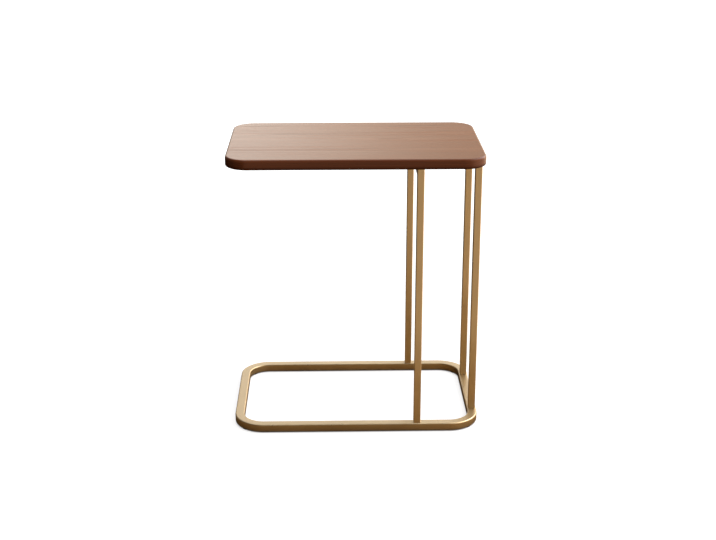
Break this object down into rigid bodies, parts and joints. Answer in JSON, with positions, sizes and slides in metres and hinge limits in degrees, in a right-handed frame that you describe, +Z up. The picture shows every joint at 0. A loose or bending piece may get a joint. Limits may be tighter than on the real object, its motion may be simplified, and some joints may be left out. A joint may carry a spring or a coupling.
{
  "type": "c-shaped side table",
  "caption": "C-shaped side table with a rounded wooden top, square tube uprights and a bent tube floor loop, open at one end so that it slides over a sofa seat or bed.",
  "frame": {"origin": "on the floor, under the middle of the tabletop", "axes": "+Z up, +X towards the closed side where the uprights stand, +Y towards the rear, away from the picture's camera"},
  "size_m": [0.5, 0.325, 0.566],
  "materials": {
    "walnut": "walnut-stained board under semi-gloss lacquer",
    "gold_coat": "satin gold coating on steel tube",
    "zinc_steel": "bright zinc plating",
    "black_steel": "black oxide",
    "pad_rubber": "matte rubber"
  },
  "bodies": {
    "root": {"tabletop": "walnut", "base_loop": "gold_coat", "left_front_upright": "gold_coat", "left_rear_upright": "gold_coat", "right_front_upright": "gold_coat", "right_rear_upright": "gold_coat", "left_top_bar": "gold_coat", "right_top_bar": "gold_coat", "left_front_nut_plug": "zinc_steel", "left_rear_nut_plug": "zinc_steel", "right_front_nut_plug": "zinc_steel", "right_rear_nut_plug": "zinc_steel", "base_bolts": "black_steel", "base_washers": "zinc_steel", "tabletop_screws": "black_steel", "tabletop_inserts": "zinc_steel", "left_front_floor_pad": "pad_rubber", "left_rear_floor_pad": "pad_rubber", "right_front_floor_pad": "pad_rubber", "right_rear_floor_pad": "pad_rubber"}
  },
  "joints": []
}
